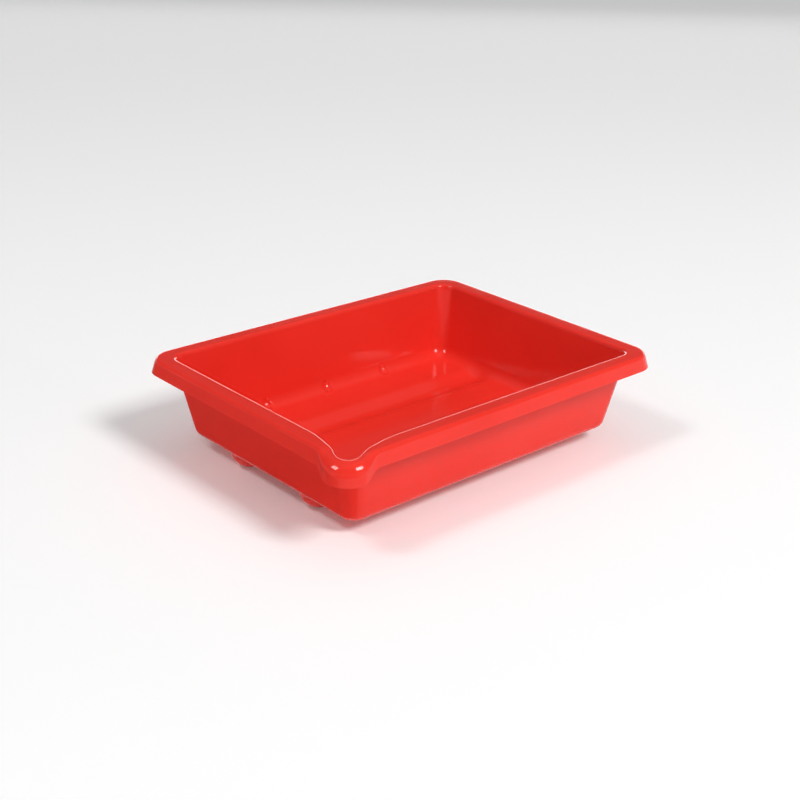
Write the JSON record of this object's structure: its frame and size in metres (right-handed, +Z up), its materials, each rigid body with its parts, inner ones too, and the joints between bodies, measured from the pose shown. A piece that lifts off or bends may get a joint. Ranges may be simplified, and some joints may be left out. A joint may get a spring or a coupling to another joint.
{
  "type": "developing tray",
  "caption": "Shallow rectangular tray with sloping walls, a flat down-turned rim, a pouring lip at one corner and round-ended runners under the floor.",
  "frame": {"origin": "middle of the tray seen from above, on the surface its runners stand on", "axes": "+X along the long side, away from the pouring lip's end; +Y across the tray, away from the lip's side; +Z up"},
  "size_m": [0.2404, 0.1849, 0.0566],
  "materials": {
    "tray": "gloss"
  },
  "bodies": {
    "root": {"tray": "tray"}
  },
  "joints": []
}
